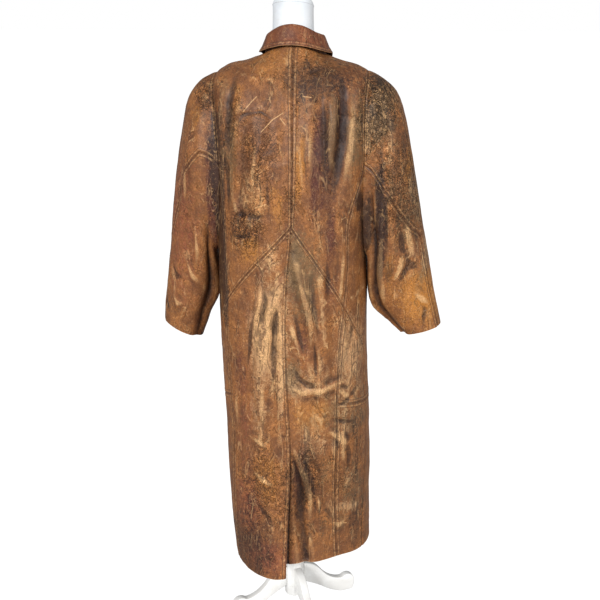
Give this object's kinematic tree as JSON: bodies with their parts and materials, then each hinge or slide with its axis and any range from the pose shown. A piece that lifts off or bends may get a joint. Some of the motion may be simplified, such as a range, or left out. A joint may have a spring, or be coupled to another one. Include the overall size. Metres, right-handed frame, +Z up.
{
  "type": "worn leather coat on a limbless dress form with a stand",
  "caption": "Full-length worn leather coat with batwing sleeves, angled back seams and a back vent, hanging on a limbless dress form with a legged stand.",
  "frame": {"origin": "centre of the bounding box at floor level, under the stand's feet", "axes": "+Z up the stand's post, the coat's back faces +Y and its fronts face -Y, +X is the wearer's left"},
  "size_m": [0.703, 0.3586, 1.6025],
  "materials": {
    "brown_leather": "worn semi-gloss, mottled and dirty",
    "collar_leather": "smoother semi-gloss",
    "inner_leather": "matt and dirty",
    "horn_button": "polished",
    "form_cloth": "smooth stretched jersey",
    "white_paint": "white satin paint"
  },
  "bodies": {
    "root": {"back_upper_left": "brown_leather", "back_skirt_left": "brown_leather", "side_upper_left": "brown_leather", "side_skirt_left": "brown_leather", "side_hem_left": "brown_leather", "front_left": "brown_leather", "front_hem_left": "brown_leather", "sleeve_back_left": "brown_leather", "sleeve_under_left": "brown_leather", "sleeve_front_left": "brown_leather", "back_upper_right": "brown_leather", "back_skirt_right": "brown_leather", "side_upper_right": "brown_leather", "side_skirt_right": "brown_leather", "side_hem_right": "brown_leather", "front_right": "brown_leather", "front_hem_right": "brown_leather", "sleeve_back_right": "brown_leather", "sleeve_under_right": "brown_leather", "sleeve_front_right": "brown_leather", "collar_fall": "collar_leather", "collar_stand": "collar_leather", "vent_underlay": "inner_leather", "button_1": "horn_button", "button_2": "horn_button", "button_3": "horn_button", "button_4": "horn_button", "dress_form": "form_cloth", "neck_cap": "form_cloth", "stand_post": "white_paint", "stand_hub": "white_paint", "stand_leg_1": "white_paint", "stand_leg_2": "white_paint", "stand_leg_3": "white_paint", "stand_leg_4": "white_paint"}
  },
  "joints": []
}
